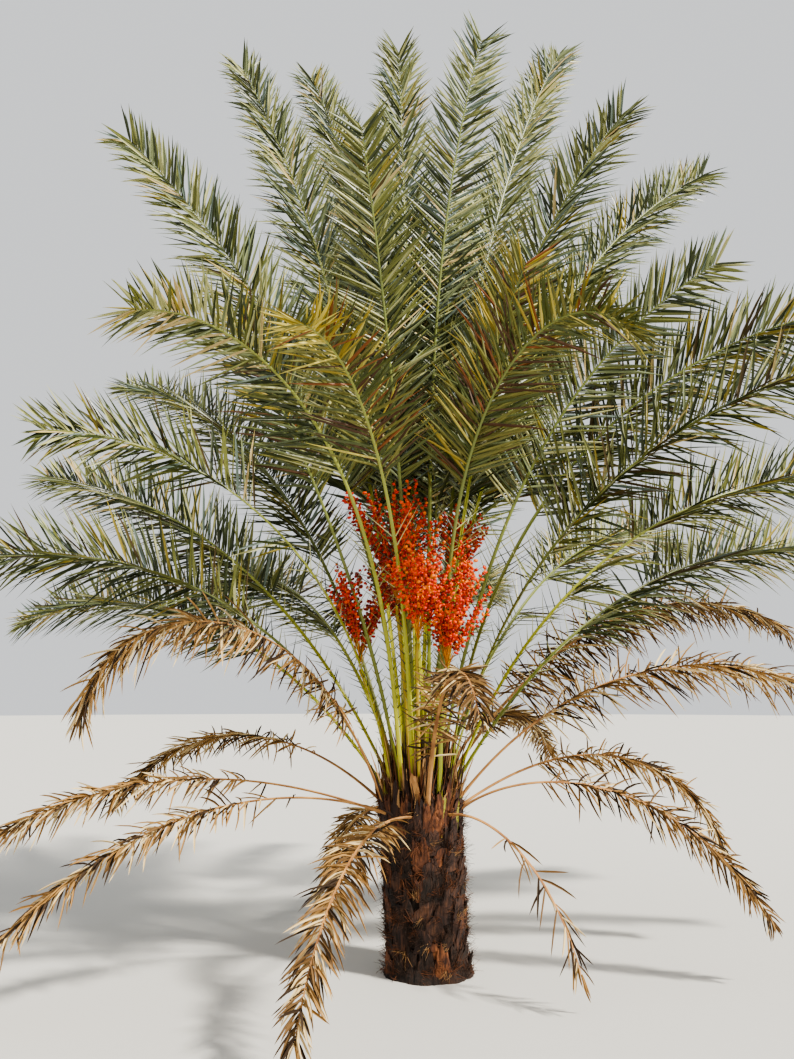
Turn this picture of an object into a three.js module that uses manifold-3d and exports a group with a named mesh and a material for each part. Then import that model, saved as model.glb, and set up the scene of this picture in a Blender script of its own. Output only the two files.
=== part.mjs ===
// A date palm in fruit: a short trunk in its leaf bases, a full crown of arching fronds,
// a skirt of dead ones and bunches of dates among the leaf stalks.
// Millimetres, +Z up. The origin is the middle of the flat cut under the trunk, at ground level.
// Azimuth is in degrees from +X towards +Y, lean in degrees from straight up.
import * as THREE from "three";
import { mergeVertices } from "three/addons/utils/BufferGeometryUtils.js";
import Module from "manifold-3d";

const wasm = await Module();
wasm.setup();

const seatGap = 0.3; // between a stalk's foot and the trunk
const leafGap = 1.0; // least distance that a leaflet or strand keeps from another piece
const jointGap = 0.4; // between the two lengths of a frond that is split at its bend
const groundGap = 8; // least height of a leaflet over the ground
const leafletCrossing = 1; // cubic millimetres that two neighbours on a rib may share
const weldDistance = 1e-3; // corners nearer to each other than this become one
const deg = Math.PI / 180;

const trunk = {
  height: 900, // from the ground to the rim that the live fronds stand in
  groundRadius: 268, // root flare
  waistRadius: 222,
  rimRadius: 232,
  flareHeight: 130,
  domeHeight: 280, // growing tip above the rim
  shiftX: -45, // the trunk leans this far to -X by its rim
  sides: 24,
  bootRows: 12, // rows of old leaf bases up the trunk
  bootSides: 8, // leaf bases in a row
  bootDepth: 17, // how far a leaf base's upper edge stands out
  bootPoint: 15, // height of its point
  bootGap: 0.04, // share of a row between its edges and the next rows
  domeRings: 4,
  domeCap: 0.6, // of a ring's step, left for the dome's top
};

const crown = {
  footRadius: 214, // the oldest live stalk's foot from the crown's axis
  footHigh: 1150, // height of the youngest foot
  footLow: 900, // height of the oldest live foot
  sideRadius: 195, // feet of the dead skirt
  sideHeight: 858,
  footSpacing: 58, // least distance between two feet
  turnStep: 4, // a foot is turned round the crown by such steps to find its room
};

const frondForm = {
  bareLength: 1300, // a live stalk is bare, but for spines, up to here
  bareShare: 0.22, // a dead one for this share of its length
  footWidth: 52, // the stalk's width where it leaves the trunk
  stalkWidth: 34, // its width above the flared foot
  tipWidth: 8,
  flareShare: 0.1, // share of the length that the flared foot takes
  flatness: 0.62, // thickness as a share of width
  leafletLength: 430, // the longest
  rootShare: 0.55, // length of the first leaflets, as a share of the longest
  swellStart: 0.18, // where in its rise and fall the length begins
  swellSpan: 0.68, // how much of it the blade runs through
  tipLoss: 0.35, // how much shorter still the last ones are
  deadShare: 0.64, // a dead leaflet is shrunk to this
  deadHang: 0.3, // how strongly it turns downwards
  leafletPitch: 158, // along the rib: each leaflet here stands for a spray of four
  vee: 22, // how far the leaflets rise from the rib's plane
  veeSwing: 16, // neighbours rise more and less than that in turn
  rootAngle: 62, // from the rib, at the first leaflet
  tipAngle: 38, // from the rib, at the last one
  twistShare: 0.35, // share of the length that a frond twists in
  curveSteps: 90,
  stalkStations: [0, 0.2, 0.55], // along the bare stalk
};
// What a crowded leaflet is tried at, in turn: its size, and a further rise in degrees
const leafletSizes = [1, 0.8, 0.6, 0.4];
const leafletRises = [0, 16, -16];

// Live fronds from the youngest to the oldest, then the dead skirt. In a row: state, azimuth,
// lean at the foot, lean at the tip, length, how late it bends, and its blade's twist.
const liveFronds = [
  ["green", 30, 3, 6, 2900, 1.0, 0],
  ["green", 200, 3, 10, 3600, 1.0, 20],
  ["green", 100, 3, 12, 4880, 1.3, -10],
  ["green", 325, 0, 19, 4370, 2.55, -55],
  ["green", 125, 6, 32, 5300, 1.6, -35],
  ["green", 250, 6, 25, 3540, 1.35, 20],
  ["green", 150, 7, 29, 5000, 1.6, -60],
  ["green", 45, 4, 33, 5390, 1.55, 45],
  ["green", 75, 9, 40, 4700, 1.6, 20],
  ["green", 190, 3, 46, 4140, 1.05, -85],
  ["green", 350, 4, 39, 4150, 1.85, 80],
  ["tinted", 304, 6, 38, 2890, 1.7, -35],
  ["green", 111, 7, 52, 4500, 1.5, -15],
  ["green", 336, 13, 65, 3410, 1.9, -60],
  ["green", 25, 7, 58, 4980, 1.4, 65],
  ["tinted", 210, 9, 32, 2730, 0.75, 50],
  ["tinted", 254, 8, 105, 3100, 1.8, 15],
  ["green", 60, 16, 68, 4300, 1.4, 35],
  ["green", 92, 20, 76, 4200, 1.3, 0],
  ["green", 140, 18, 78, 4200, 1.3, -30],
  ["green", 160, 27, 82, 3300, 1.2, -50],
  ["green", 352, 6, 88, 4100, 1.2, 80],
  ["green", 233, 7, 111, 3420, 1.9, 35],
  ["green", 340, 13, 96, 3900, 1.2, 60],
  ["green", 205, 10, 96, 3000, 1.35, -60],
  ["green", 50, 28, 100, 4000, 1.1, 30],
  ["green", 12, 21, 103, 4100, 1.1, 50],
  ["green", 78, 34, 104, 3800, 1.1, 10],
  ["green", 120, 33, 104, 3800, 1.1, -20],
  ["green", 25, 34, 106, 4200, 1.1, 45],
  ["green", 150, 38, 108, 3600, 1.1, -40],
  ["green", 185, 22, 108, 3100, 1.1, -50],
  ["dead", 35, 39, 110, 3900, 1.1, 30],
  ["tinted", 300, 3, 142, 3490, 2.8, -30],
  ["dead", 10, 39, 132, 3100, 1.1, 20],
  ["dead", 202, 23, 174, 2400, 1.85, -20],
];
const skirtFronds = [
  ["dead", 280, 20, 150, 1650, 1.8, 0],
  ["dead", 65, 48, 128, 2600, 1.1, 0],
  ["dead", 148, 52, 138, 2500, 1.1, 0],
  ["dead", 15, 58, 162, 2050, 1.5, 20],
  ["dead", 350, 48, 151, 1980, 0.75, 20],
  ["dead", 314, 67, 165, 1280, 0.6, 0],
  ["dead", 254, 84, 155, 1950, 1.6, 0],
  ["dead", 205, 67, 148, 2600, 0.9, 0],
  ["dead", 190, 70, 138, 2700, 1.3, 0],
  ["dead", 95, 74, 152, 2200, 1.2, 0],
  ["dead", 112, 88, 156, 1800, 1.2, 0],
];
const splitBend = 105; // a frond that bends more than this is made in two lengths
const splitShare = 0.5; // where the two lengths meet

const bunchForm = {
  stalkWidth: 26,
  stalkTaper: 0.45, // how much thinner its head is
  stalkSteps: 6,
  stalkBend: { across: 0.3, up: 0.6 }, // the stalk's bend on its way from foot to head
  headShare: 0.16, // strands leave this last part of the stalk
  strands: 8,
  strandSides: 3,
  strandWidth: 9,
  strandLeast: 0.8, // the shortest strand, as a share of the bunch's own length
  strandRange: 0.3, // how much longer than that one may be
  dateWidth: 46, // each swelling stands for a cluster of dates
  dates: 4, // swellings on a strand
  bareShare: 0.3, // of the strand, before its first date
  droop: 0.35, // how far a strand's heading sinks over its length
  stalkTries: 400,
  strayTurn: 60, // degrees that a stalk's foot may stray to find its way
  strayShift: 90, // and millimetres that its head may
  tries: 30, // directions tried for a strand before it is left out
};
// Fruit bunches: azimuth and radius of the foot, head of the stalk from the crown's axis,
// strand length, and how far round the head its strands spread.
const bunches = [
  { name: "bunch_top", azimuth: 250, radius: 120, head: [-150, -250, 2080], strand: 600, spread: 26 },
  { name: "bunch_centre", azimuth: 262, radius: 150, head: [-30, -350, 1860], strand: 520, spread: 32 },
  { name: "bunch_right", azimuth: 300, radius: 150, head: [150, -280, 1690], strand: 540, spread: 25 },
  { name: "bunch_left", azimuth: 205, radius: 150, head: [-400, -140, 1740], strand: 460, spread: 34 },
  { name: "bunch_far", azimuth: 10, radius: 120, head: [225, 40, 2180], strand: 360, spread: 24 },
  { name: "bunch_back", azimuth: 110, radius: 130, head: [-60, 290, 1900], strand: 480, spread: 38 },
];

const finishes = {
  green: new THREE.MeshStandardMaterial({ color: 0x7c8b66, roughness: 0.55, metalness: 0 }),
  tinted: new THREE.MeshStandardMaterial({ color: 0x9c8a45, roughness: 0.6, metalness: 0 }),
  dead: new THREE.MeshStandardMaterial({ color: 0xb07a45, roughness: 0.85, metalness: 0 }),
  bark: new THREE.MeshStandardMaterial({ color: 0x4a3526, roughness: 0.95, metalness: 0 }),
  dates: new THREE.MeshStandardMaterial({ color: 0xd8421c, roughness: 0.45, metalness: 0 }),
};

// Solids from rings of corners

function solidFrom(points, faces) {
  const vertProperties = new Float32Array(points.flatMap((p) => [p.x, p.y, p.z]));
  const triVerts = new Uint32Array(faces.flat());
  return new wasm.Manifold(new wasm.Mesh({ numProp: 3, vertProperties, triVerts }));
}

function fanFaces(loop, apex) {
  return loop.map((corner, k) => [corner, loop[(k + 1) % loop.length], apex]);
}

function quadFaces([a, b, c, d]) {
  return [[a, b, c], [a, c, d]];
}

// A closed bar through rings of equal corner count, each ring running clockwise seen from its end.
// wallApex(ring, side) may give a point that one wall is drawn out to; tip ends the bar in a point.
function barSolid(rings, tip, wallApex = () => null) {
  const points = rings.flat();
  const sides = rings[0].length;
  const faces = [];
  const corner = (ring, side) => ring * sides + (side % sides);
  for (let ring = 0; ring + 1 < rings.length; ring += 1) {
    for (let side = 0; side < sides; side += 1) {
      const loop = [
        corner(ring, side), corner(ring + 1, side), corner(ring + 1, side + 1), corner(ring, side + 1),
      ];
      const apex = wallApex(ring, side);
      if (apex) {
        points.push(apex);
        faces.push(...fanFaces(loop, points.length - 1));
      } else {
        faces.push(...quadFaces(loop));
      }
    }
  }
  const first = rings[0].map((_, side) => corner(0, side));
  for (let side = 1; side + 1 < sides; side += 1) {
    faces.push([first[0], first[side], first[side + 1]]);
  }
  const last = rings[0].map((_, side) => corner(rings.length - 1, side)).reverse();
  if (tip) {
    points.push(tip);
    faces.push(...fanFaces(last, points.length - 1));
  } else {
    for (let side = 1; side + 1 < sides; side += 1) {
      faces.push([last[0], last[side], last[side + 1]]);
    }
  }
  return solidFrom(points, faces);
}

function largestPiece(solid) {
  return solid.decompose().sort((a, b) => b.volume() - a.volume())[0];
}

function geometryOf(solid) {
  const mesh = solid.getMesh();
  const geometry = new THREE.BufferGeometry();
  const places = new Float32Array(mesh.numVert * 3);
  for (let v = 0; v < mesh.numVert; v += 1) {
    places.set(mesh.position(v), v * 3);
  }
  geometry.setAttribute("position", new THREE.BufferAttribute(places, 3));
  geometry.setIndex(new THREE.BufferAttribute(mesh.triVerts, 1));
  const merged = mergeVertices(geometry, weldDistance);
  merged.computeVertexNormals();
  return merged;
}

// Boxes keep the distance tests few: only near solids are measured

function boxOf(solid) {
  const { min, max } = solid.boundingBox();
  return new THREE.Box3(new THREE.Vector3(...min), new THREE.Vector3(...max));
}

function isClear(solid, others, gap) {
  const reach = boxOf(solid).expandByScalar(gap);
  return others.every((other) => !reach.intersectsBox(other.box) || solid.minGap(other.solid, gap) >= gap);
}

// Trunk

function trunkCentre(z) {
  return new THREE.Vector3(trunk.shiftX * Math.min(1, z / trunk.height), 0, z);
}

function trunkRadius(z) {
  const flare = (trunk.groundRadius - trunk.waistRadius) * Math.max(0, 1 - z / trunk.flareHeight) ** 2;
  const swell = (trunk.rimRadius - trunk.waistRadius) * (z / trunk.height);
  return trunk.waistRadius + flare + swell;
}

// A ring round the trunk: reach(side) gives a corner's distance from the middle line and its rise.
function trunkRing(z, reach) {
  return Array.from({ length: trunk.sides }, (_, side) => {
    const angle = (-side * 2 * Math.PI) / trunk.sides;
    const { radius, rise } = reach(side);
    return trunkCentre(z).add(new THREE.Vector3(radius * Math.cos(angle), radius * Math.sin(angle), rise));
  });
}

// Rows of leaf bases: each row is drawn in at its lower edge and stands out at its upper one,
// where every base has its point; the bases of neighbouring rows are staggered.
function trunkSolid(grow) {
  const rings = [];
  const rowHeight = trunk.height / trunk.bootRows;
  const sidesPerBoot = trunk.sides / trunk.bootSides;
  for (let row = 0; row < trunk.bootRows; row += 1) {
    const low = row === 0 ? 0 : (row + trunk.bootGap) * rowHeight;
    const high = (row + 1 - trunk.bootGap) * rowHeight;
    rings.push(trunkRing(low, () => ({ radius: trunkRadius(low) - trunk.bootDepth / 2 + grow, rise: 0 })));
    rings.push(trunkRing(high, (side) => {
      const place = (side + ((row % 2) * sidesPerBoot) / 2) % sidesPerBoot;
      const stand = 0.5 - Math.abs(place - 1) / sidesPerBoot;
      return { radius: trunkRadius(high) + trunk.bootDepth * stand + grow, rise: trunk.bootPoint * stand };
    }));
  }
  for (let step = 1; step <= trunk.domeRings; step += 1) {
    const share = 1 - step / (trunk.domeRings + trunk.domeCap);
    const z = trunk.height + trunk.domeHeight * (1 - share * share);
    rings.push(trunkRing(z, () => ({ radius: trunk.rimRadius * share + grow, rise: grow })));
  }
  return barSolid(rings, trunkCentre(trunk.height + trunk.domeHeight + grow));
}

// Fronds

function direction(azimuth, lean) {
  const level = Math.sin(lean * deg);
  const [x, y] = [Math.cos(azimuth * deg) * level, Math.sin(azimuth * deg) * level];
  return new THREE.Vector3(x, y, Math.cos(lean * deg));
}

const crownAxis = new THREE.Vector3(trunk.shiftX, 0, 0);
const feet = [];

// The foot stands at its age's place on the growing dome, turned as little as need be
// from the frond's own azimuth to keep its distance from the feet before it.
function footPlace(azimuth, radius, height) {
  for (let turn = 0; turn < 90 / crown.turnStep; turn += 1) {
    for (const sign of [1, -1]) {
      const way = direction(azimuth + sign * turn * crown.turnStep, 90);
      const foot = crownAxis.clone().addScaledVector(way, radius).setZ(height);
      if (feet.every((other) => other.distanceTo(foot) >= crown.footSpacing)) {
        feet.push(foot);
        return foot;
      }
    }
  }
  throw new Error(`no room for a foot at ${azimuth}`);
}

function frondCurve(row, foot) {
  const [state, azimuth, lean, tipLean, length, bend, twist] = row;
  const points = [foot];
  const stepLength = length / frondForm.curveSteps;
  for (let step = 0; step < frondForm.curveSteps; step += 1) {
    const share = (step + 0.5) / frondForm.curveSteps;
    const way = direction(azimuth, lean + (tipLean - lean) * share ** bend);
    points.push(points[step].clone().addScaledVector(way, stepLength));
  }
  const leafStart = state === "dead" ? frondForm.bareShare : frondForm.bareLength / length;
  return { state, azimuth, lean, tipLean, length, bend, twist, points, leafStart };
}

// Where the rib is at a share of its length, with its own three directions there.
function ribAt(frond, share) {
  const place = share * frondForm.curveSteps;
  const step = Math.min(Math.floor(place), frondForm.curveSteps - 1);
  const point = frond.points[step].clone().lerp(frond.points[step + 1], place - step);
  const along = direction(frond.azimuth, frond.lean + (frond.tipLean - frond.lean) * share ** frond.bend);
  const side = direction(frond.azimuth + 90, 90);
  const turn = frond.twist * deg * Math.min(1, share / frondForm.twistShare);
  side.applyAxisAngle(along, turn);
  const up = along.clone().cross(side);
  const { tipWidth, stalkWidth, footWidth, flareShare } = frondForm;
  const flare = (footWidth - stalkWidth) * Math.max(0, 1 - share / flareShare) ** 2;
  const width = tipWidth + (stalkWidth - tipWidth) * (1 - share) + flare;
  return { share, point, along, side, up, width, thick: width * frondForm.flatness };
}

function ribRing(rib) {
  return [[-1, 1], [1, 1], [1, -1], [-1, -1]].map(([sideways, upwards]) => rib.point.clone()
    .addScaledVector(rib.side, (sideways * rib.width) / 2)
    .addScaledVector(rib.up, (upwards * rib.thick) / 2));
}

function leafletLength(age, state) {
  const rise = Math.sin(Math.PI * Math.min(1, frondForm.swellSpan * age + frondForm.swellStart));
  const swell = frondForm.rootShare + (1 - frondForm.rootShare) * rise;
  const shrunk = state === "dead" ? frondForm.deadShare : 1;
  return frondForm.leafletLength * swell * (1 - frondForm.tipLoss * age ** 3) * shrunk;
}

// The tip of a leaflet that grows from the rib on one side (-1 or 1). A dead one hangs.
function leafletTip(frond, rib, sign, index, size, extraVee) {
  const age = (rib.share - frond.leafStart) / (1 - frond.leafStart);
  const angle = (frondForm.rootAngle + (frondForm.tipAngle - frondForm.rootAngle) * age) * deg;
  const vee = (frondForm.vee + frondForm.veeSwing * Math.sin(index * 2.4 + sign) + extraVee) * deg;
  const way = rib.along.clone().multiplyScalar(Math.cos(angle))
    .addScaledVector(rib.side, sign * Math.sin(angle) * Math.cos(vee))
    .addScaledVector(rib.up, Math.sin(angle) * Math.sin(vee));
  if (frond.state === "dead") {
    way.add(new THREE.Vector3(0, 0, -frondForm.deadHang)).normalize();
  }
  return rib.point.clone().addScaledVector(way, leafletLength(age, frond.state) * size);
}

function stationShares(frond) {
  const bladeSteps = Math.round((frond.length * (1 - frond.leafStart)) / frondForm.leafletPitch);
  const shares = frondForm.stalkStations.map((station) => station * frond.leafStart);
  for (let step = 0; step < bladeSteps; step += 1) {
    shares.push(frond.leafStart + ((1 - frond.leafStart) * step) / bladeSteps);
  }
  return shares;
}

// Everything that has its place already, with the piece that it belongs to
const placed = [];

function keep(owner, solid) {
  placed.push({ owner, solid, box: boxOf(solid) });
}

function placedOutside(owner) {
  return placed.filter((other) => other.owner !== owner);
}

function growFrond(row, index, foot) {
  const frond = { ...frondCurve(row, foot), owner: `frond_${String(index + 1).padStart(2, "0")}` };
  frond.ribs = stationShares(frond).map((share) => ribAt(frond, share));
  frond.tip = ribAt(frond, 1).point;
  frond.apexes = new Map();
  frond.bare = barSolid(frond.ribs.map(ribRing), frond.tip).subtract(trunkOutside);
  keep(frond.owner, frond.bare);
  return frond;
}

// A leaflet alone, for measuring its distance from other pieces.
function leafletSolid(loop, apex) {
  return solidFrom([...loop, apex], [...fanFaces([0, 1, 2, 3], 4), ...quadFaces([3, 2, 1, 0])]);
}

// The places where leaflets stand: one on each side wall of each step of the blade.
function leafletPlaces(frond) {
  return frond.ribs.slice(0, -1).flatMap((rib, step) => [1, 3].map((side) => ({
    frond, step, side, rib, next: frond.ribs[step + 1],
  }))).filter((place) => place.rib.share >= frond.leafStart);
}

// A leaflet takes the first size and rise at which it is clear of all other pieces.
function growLeaflet({ frond, step, side, rib, next }, others) {
  const rings = [ribRing(rib), ribRing(next)];
  const loop = [rings[0][side], rings[1][side], rings[1][(side + 1) % 4], rings[0][(side + 1) % 4]];
  const middle = { ...rib, point: rib.point.clone().lerp(next.point, 0.5) };
  for (const size of leafletSizes) {
    for (const rise of leafletRises) {
      const apex = leafletTip(frond, middle, side === 1 ? 1 : -1, step, size, rise);
      const solid = leafletSolid(loop, apex);
      const neighbour = frond.apexes.get(`${step + 1} ${side}`);
      const crossing = neighbour ? solid.intersect(neighbour.solid).volume() : 0;
      if (boxOf(solid).min.z > groundGap && crossing < leafletCrossing && isClear(solid, others, leafGap)) {
        frond.apexes.set(`${step} ${side}`, { apex, solid });
        keep(frond.owner, solid);
        return;
      }
    }
  }
}

// The finished frond, or one of its two lengths: first and last are steps of its rib.
function frondSolid(frond, first, last) {
  const rings = frond.ribs.slice(first, last).map(ribRing);
  const atTip = last > frond.ribs.length - 1;
  if (first > 0) {
    const back = frond.ribs[first].along.clone().multiplyScalar(jointGap);
    rings[0].forEach((corner) => corner.add(back));
  }
  const solid = barSolid(rings, atTip ? frond.tip : null, (ring, side) => {
    const leaflet = frond.apexes.get(`${first + ring} ${side}`);
    return leaflet ? leaflet.apex : null;
  });
  return first > 0 ? solid : largestPiece(solid.subtract(trunkOutside));
}

// Fruit

// Corners round a point, across a direction that runs more up than sideways.
function roundRing(point, along, radius, sides) {
  const across = new THREE.Vector3(1, 0, 0).cross(along).normalize();
  const third = along.clone().cross(across).normalize();
  return Array.from({ length: sides }, (_, side) => {
    const angle = (-side * 2 * Math.PI) / sides;
    return point.clone().addScaledVector(across, radius * Math.cos(angle))
      .addScaledVector(third, radius * Math.sin(angle));
  });
}

// A repeatable run of numbers from 0 to 1.
function seeded(seed) {
  let state = seed;
  return () => {
    state = (state * 1664525 + 1013904223) % 4294967296;
    return state / 4294967296;
  };
}

// A strand bends under its dates; a swelling on it stands for the dates of a few centimetres.
function strandSolid(start, way, length) {
  const steps = bunchForm.dates * 2 + 2;
  const rings = [];
  const point = start.clone();
  const heading = way.clone();
  for (let step = 0; step < steps; step += 1) {
    const share = step / (steps - 1);
    const swollen = share > bunchForm.bareShare && step % 2 === 0;
    const radius = (swollen ? bunchForm.dateWidth : bunchForm.strandWidth) / 2;
    rings.push(roundRing(point, heading, radius, bunchForm.strandSides));
    heading.add(new THREE.Vector3(0, 0, -bunchForm.droop / steps)).normalize();
    point.addScaledVector(heading, length / steps);
  }
  return barSolid(rings, point);
}

// The stalk's middle line, from its foot among the leaf stalks to its head. Each further
// attempt strays more from the planned one.
function stalkLine(bunch, stray, random) {
  const either = () => (2 * random() - 1) * stray; // between -stray and +stray
  const way = direction(bunch.azimuth + bunchForm.strayTurn * either(), 90);
  const foot = crownAxis.clone().addScaledVector(way, bunch.radius * (1 + either() / 2)).setZ(crown.footLow);
  const shift = new THREE.Vector3(either(), either(), either()).multiplyScalar(bunchForm.strayShift);
  const head = new THREE.Vector3(...bunch.head).add(crownAxis).add(shift);
  const { across, up } = bunchForm.stalkBend;
  const bend = foot.clone().lerp(head, across).setZ(foot.z + (head.z - foot.z) * up);
  return new THREE.QuadraticBezierCurve3(foot, bend, head);
}

function stalkSolid(line) {
  const rings = Array.from({ length: bunchForm.stalkSteps + 1 }, (_, step) => {
    const share = step / bunchForm.stalkSteps;
    const radius = (bunchForm.stalkWidth / 2) * (1 - bunchForm.stalkTaper * share);
    return roundRing(line.getPoint(share), line.getTangent(share), radius, 4);
  });
  return largestPiece(barSolid(rings, null).subtract(trunkOutside));
}

// The first stalk that passes clear of all other pieces.
function growStalk(bunch, others, random) {
  for (let attempt = 0; attempt < bunchForm.stalkTries; attempt += 1) {
    const line = stalkLine(bunch, attempt / bunchForm.stalkTries, random);
    const solid = stalkSolid(line);
    if (isClear(solid, others, leafGap)) {
      return { line, solid };
    }
  }
  throw new Error(`the stalk of ${bunch.name} finds no way`);
}

function bunchSolid(bunch, index) {
  const others = placedOutside(bunch.name).filter((other) => other.owner !== "trunk");
  const random = seeded(index + 7);
  const { line, solid: stalk } = growStalk(bunch, others, random);
  let solid = stalk;
  for (let strand = 0; strand < bunchForm.strands; strand += 1) {
    for (let attempt = 0; attempt < bunchForm.tries; attempt += 1) {
      const share = 1 - bunchForm.headShare * random();
      const off = direction(360 * random(), 90);
      const tilt = bunch.spread * deg * Math.sqrt(random());
      const way = line.getTangent(share).multiplyScalar(Math.cos(tilt)).addScaledVector(off, Math.sin(tilt));
      way.normalize();
      const length = bunch.strand * (bunchForm.strandLeast + bunchForm.strandRange * random());
      const made = strandSolid(line.getPoint(share), way, length);
      if (isClear(made, others, leafGap)) {
        solid = solid.add(made);
        break;
      }
    }
  }
  return largestPiece(solid); // without the small hollows that crossing strands close in
}

// Assembly

const trunkOutside = trunkSolid(seatGap);
keep("trunk", trunkSolid(0));

const group = new THREE.Group();

function addMesh(name, solid, finish) {
  const mesh = new THREE.Mesh(geometryOf(solid), finishes[finish]);
  mesh.name = name;
  group.add(mesh);
}

addMesh("trunk", trunkSolid(0), "bark");

const fronds = [
  ...liveFronds.map((row, index) => {
    const age = (index + 0.5) / liveFronds.length;
    const height = crown.footHigh + (crown.footLow - crown.footHigh) * age;
    return growFrond(row, index, footPlace(row[1], crown.footRadius * Math.sqrt(age), height));
  }),
  ...skirtFronds.map((row, index) => (
    growFrond(row, liveFronds.length + index, footPlace(row[1], crown.sideRadius, crown.sideHeight)))),
];

bunches.forEach((bunch, index) => {
  const solid = bunchSolid(bunch, index);
  keep(bunch.name, solid);
  addMesh(bunch.name, solid, "dates");
});

// Leaflets are set from the tips inwards, so that the crown's outline is complete
// and only its crowded middle is thinned.
fronds.flatMap(leafletPlaces)
  .sort((a, b) => b.rib.share - a.rib.share)
  .forEach((place) => growLeaflet(place, placedOutside(place.frond.owner)));

fronds.forEach((frond) => {
  const end = frond.ribs.length;
  if (frond.tipLean - frond.lean > splitBend) {
    const middle = Math.round(end * splitShare);
    addMesh(`${frond.owner}_foot`, frondSolid(frond, 0, middle + 1), frond.state);
    addMesh(`${frond.owner}_end`, frondSolid(frond, middle, end), frond.state);
  } else {
    addMesh(frond.owner, frondSolid(frond, 0, end), frond.state);
  }
});

export default group;
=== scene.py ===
# A date palm in fruit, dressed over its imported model: fronds with their leaflets and spines,
# fruit bunches, the trunk in its old leaf bases, and fibre.
# Metres, +Z up. The origin is the middle of the flat cut under the trunk.
# Azimuth is in degrees from +X towards +Y, lean in degrees from straight up.
import math

import bmesh
import bpy
import numpy as np
from mathutils import Matrix, Vector, noise
from mathutils.kdtree import KDTree


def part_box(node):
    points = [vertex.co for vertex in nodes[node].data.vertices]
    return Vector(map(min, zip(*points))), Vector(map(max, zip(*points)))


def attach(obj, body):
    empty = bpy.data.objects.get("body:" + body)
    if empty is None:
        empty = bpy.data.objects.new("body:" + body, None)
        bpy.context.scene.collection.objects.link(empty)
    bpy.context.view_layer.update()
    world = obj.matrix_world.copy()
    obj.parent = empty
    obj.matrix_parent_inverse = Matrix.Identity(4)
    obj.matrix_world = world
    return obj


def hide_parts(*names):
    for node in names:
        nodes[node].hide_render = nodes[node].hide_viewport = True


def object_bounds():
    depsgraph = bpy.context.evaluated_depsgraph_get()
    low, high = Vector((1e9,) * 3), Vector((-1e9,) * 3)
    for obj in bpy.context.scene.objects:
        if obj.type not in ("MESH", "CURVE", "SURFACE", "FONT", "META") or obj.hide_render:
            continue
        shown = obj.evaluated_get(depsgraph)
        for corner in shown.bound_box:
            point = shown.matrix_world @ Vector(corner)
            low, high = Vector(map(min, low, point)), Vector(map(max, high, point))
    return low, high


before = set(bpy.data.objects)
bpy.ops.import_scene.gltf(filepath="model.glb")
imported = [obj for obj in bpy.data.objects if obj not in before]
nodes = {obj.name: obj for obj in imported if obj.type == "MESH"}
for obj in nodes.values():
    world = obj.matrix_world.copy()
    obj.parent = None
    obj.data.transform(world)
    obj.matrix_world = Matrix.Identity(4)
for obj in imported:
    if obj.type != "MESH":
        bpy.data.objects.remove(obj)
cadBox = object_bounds()
print("frame loaded,", len(nodes), "nodes")

# Camera, light and floor

view = {
    "eye": (-0.175, -6.0, 1.55),
    "pitch": 8.8,  # degrees upwards
    "lens": 35.0,
    "sensor": 36.0,
    "farthest": 200,
    "keyTurn": 54,  # degrees to the right of the camera
    "keyHeight": 44,
    "keyStrength": 7.0,
    "keySpread": 5,  # degrees across, for soft shadows
    "keyColour": (1.0, 0.96, 0.88),
    "skyColour": "#eef0f2",
    "skyStrength": 0.9,
    "floorRadius": 60.0,
}


def linearColour(text):
    channels = [int(text[k:k + 2], 16) / 255 for k in (1, 3, 5)]
    return [c / 12.92 if c <= 0.04045 else ((c + 0.055) / 1.055) ** 2.4 for c in channels] + [1.0]


def addNode(tree, kind, settings=None, links=None):
    node = tree.nodes.new(kind)
    for name, value in (settings or {}).items():
        if isinstance(name, str) and hasattr(node, name):
            setattr(node, name, value)
        else:
            node.inputs[name].default_value = value
    for name, source in (links or {}).items():
        tree.links.new(source, node.inputs[name])
    return node


def newMaterial(name, colour, roughness, ior=1.5):
    material = bpy.data.materials.new(name)
    material.use_nodes = True
    shader = material.node_tree.nodes["Principled BSDF"]
    for socket, value in (("Base Color", linearColour(colour)), ("Roughness", roughness), ("IOR", ior)):
        shader.inputs[socket].default_value = value
    return material, material.node_tree, shader


def addObject(name, data):
    thing = bpy.data.objects.new(name, data)
    bpy.context.scene.collection.objects.link(thing)
    return thing


def buildStage():
    camera = addObject("camera", bpy.data.cameras.new("camera"))
    camera.location = view["eye"]
    camera.rotation_euler = (math.radians(90 + view["pitch"]), 0, 0)
    camera.data.lens = view["lens"]
    camera.data.sensor_width = view["sensor"]
    camera.data.clip_end = view["farthest"]
    bpy.context.scene.camera = camera
    bpy.context.scene.view_settings.look = "AgX - Medium High Contrast"

    key = addObject("keyLight", bpy.data.lights.new("keyLight", "SUN"))
    key.data.energy = view["keyStrength"]
    key.data.angle = math.radians(view["keySpread"])
    key.data.color = view["keyColour"]
    key.rotation_euler = (math.radians(90 - view["keyHeight"]), 0, math.radians(view["keyTurn"]))

    world = bpy.data.worlds.new("sky")
    world.use_nodes = True
    sky = world.node_tree.nodes["Background"]
    sky.inputs["Color"].default_value = linearColour(view["skyColour"])
    sky.inputs["Strength"].default_value = view["skyStrength"]
    bpy.context.scene.world = world

    bm = bmesh.new()
    bmesh.ops.create_circle(bm, cap_ends=True, segments=128, radius=view["floorRadius"])
    mesh = bpy.data.meshes.new("floor")
    bm.to_mesh(mesh)
    bm.free()
    floor = addObject("floor", mesh)
    # Pale matt paper backdrop
    mesh.materials.append(newMaterial("backdropPaper", "#c4c2bc", 0.9)[0])


buildStage()
print("camera and light set")

# Materials. Each leaflet's own colour is plain: sprays in several colours give the crown its tones.


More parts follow.
